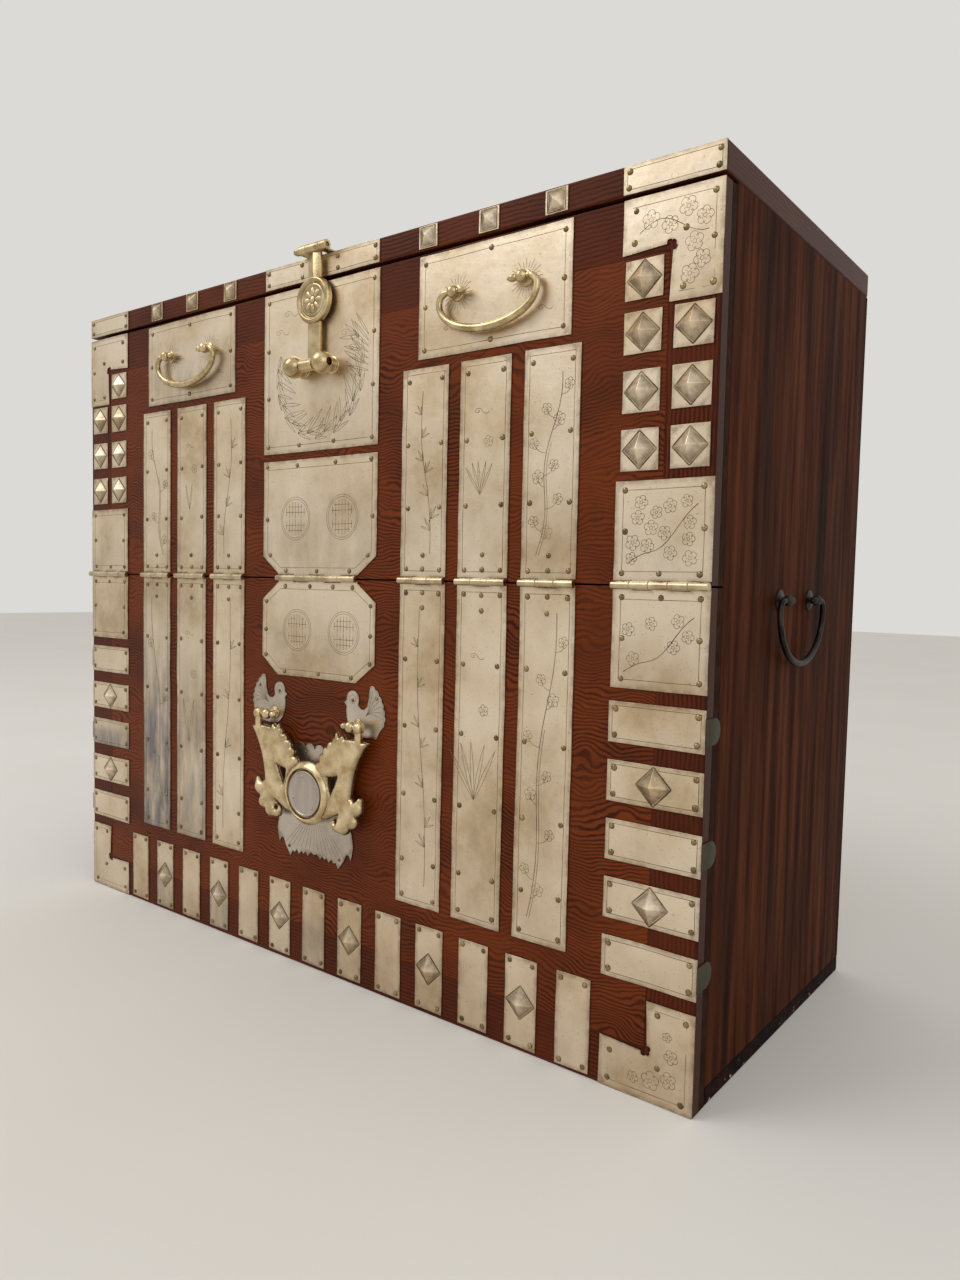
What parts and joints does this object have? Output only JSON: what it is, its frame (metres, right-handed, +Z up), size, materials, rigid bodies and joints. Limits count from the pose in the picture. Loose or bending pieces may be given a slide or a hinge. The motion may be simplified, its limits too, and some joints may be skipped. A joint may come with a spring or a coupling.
{
  "type": "bandaji chest",
  "caption": "Drop-front wooden chest dressed with brass plates, with a front that folds down on hinges, a hasp for a padlock, bail handles and a winged drop handle.",
  "frame": {"origin": "middle of the rectangle of the chest's bottom face, at floor height", "axes": "+X to the right along the front, +Y to the back, +Z up; the front looks along -Y"},
  "size_m": [0.926, 0.4075, 0.78],
  "materials": {
    "panel_wood": "curly elm under a warm red-brown oiled finish",
    "frame_wood": "red-brown oiled finish",
    "carcass_wood": "dark red-brown oiled finish with streaks along the grain",
    "inner_wood": "plain planed boards",
    "sheet_brass": "pale nickel-brass sheet, lightly tarnished",
    "cast_brass": "cast brass, polished by use",
    "pin_brass": "dull drawn brass",
    "iron": "dark forged iron"
  },
  "bodies": {
    "carcass": {"lid_board": "carcass_wood", "side_board_left": "carcass_wood", "side_board_right": "carcass_wood", "back_boards": "inner_wood", "bottom_board": "carcass_wood", "front_backing": "inner_wood", "front_stile_left": "frame_wood", "front_stile_right": "frame_wood", "front_bottom_rail": "frame_wood", "front_panel": "panel_wood", "lid_corner_plate_left": "sheet_brass", "lid_corner_plate_right": "sheet_brass", "lid_centre_plate": "sheet_brass", "lid_stud_plates": "sheet_brass", "hasp_bracket": "cast_brass", "hasp_pin": "cast_brass", "front_hinge_square_left": "sheet_brass", "front_hinge_square_right": "sheet_brass", "front_centre_leaf": "sheet_brass", "front_straps_left": "sheet_brass", "front_straps_right": "sheet_brass", "side_bands_left": "sheet_brass", "side_bands_right": "sheet_brass", "foot_plate_left": "sheet_brass", "foot_plate_right": "sheet_brass", "bottom_row_plates": "sheet_brass", "bird_plate_left": "sheet_brass", "bird_plate_right": "sheet_brass", "leaf_backplate": "sheet_brass", "drop_handle_posts": "cast_brass", "hinge_pins": "pin_brass", "side_handle_posts_left": "iron", "side_handle_posts_right": "iron"},
    "door": {"door_backing": "inner_wood", "door_stile_left": "frame_wood", "door_stile_right": "frame_wood", "door_top_rail": "frame_wood", "door_panel": "panel_wood", "door_corner_plate_left": "sheet_brass", "door_corner_plate_right": "sheet_brass", "door_stud_plates_left": "sheet_brass", "door_stud_plates_right": "sheet_brass", "door_hinge_square_left": "sheet_brass", "door_hinge_square_right": "sheet_brass", "handle_plate_left": "sheet_brass", "handle_plate_right": "sheet_brass", "lock_plate": "sheet_brass", "door_centre_leaf": "sheet_brass", "door_straps_left": "sheet_brass", "door_straps_right": "sheet_brass", "lock_posts": "cast_brass", "bail_posts_left": "cast_brass", "bail_posts_right": "cast_brass"},
    "hasp": {"hasp_strap": "cast_brass"},
    "bail_left": {"bail_left": "cast_brass"},
    "bail_right": {"bail_right": "cast_brass"},
    "drop_handle": {"drop_handle": "cast_brass", "drop_handle_disc": "sheet_brass"},
    "side_handle_left": {"side_handle_left": "iron"},
    "side_handle_right": {"side_handle_right": "iron"}
  },
  "joints": [
    {"name": "door_hinge", "type": "hinge", "parent": "carcass", "child": "door", "pos_m": [0, -0.1938, 0.43], "axis": [1, 0, 0], "range_deg": [0, 168]},
    {"name": "hasp_hinge", "type": "hinge", "parent": "carcass", "child": "hasp", "pos_m": [0, -0.199, 0.775], "axis": [-1, 0, 0], "range_deg": [0, 265]},
    {"name": "bail_left_hinge", "type": "hinge", "parent": "door", "child": "bail_left", "pos_m": [-0.2281, -0.1985, 0.698], "axis": [-1, 0, 0], "range_deg": [0, 170]},
    {"name": "bail_right_hinge", "type": "hinge", "parent": "door", "child": "bail_right", "pos_m": [0.2281, -0.1985, 0.698], "axis": [-1, 0, 0], "range_deg": [0, 170]},
    {"name": "drop_handle_hinge", "type": "hinge", "parent": "carcass", "child": "drop_handle", "pos_m": [0, -0.203, 0.278], "axis": [1, 0, 0], "range_deg": [-100, 0]},
    {"name": "side_handle_left_hinge", "type": "hinge", "parent": "carcass", "child": "side_handle_left", "pos_m": [-0.458, 0, 0.419], "axis": [0, 1, 0], "range_deg": [0, 170]},
    {"name": "side_handle_right_hinge", "type": "hinge", "parent": "carcass", "child": "side_handle_right", "pos_m": [0.458, 0, 0.419], "axis": [0, -1, 0], "range_deg": [0, 170]}
  ]
}
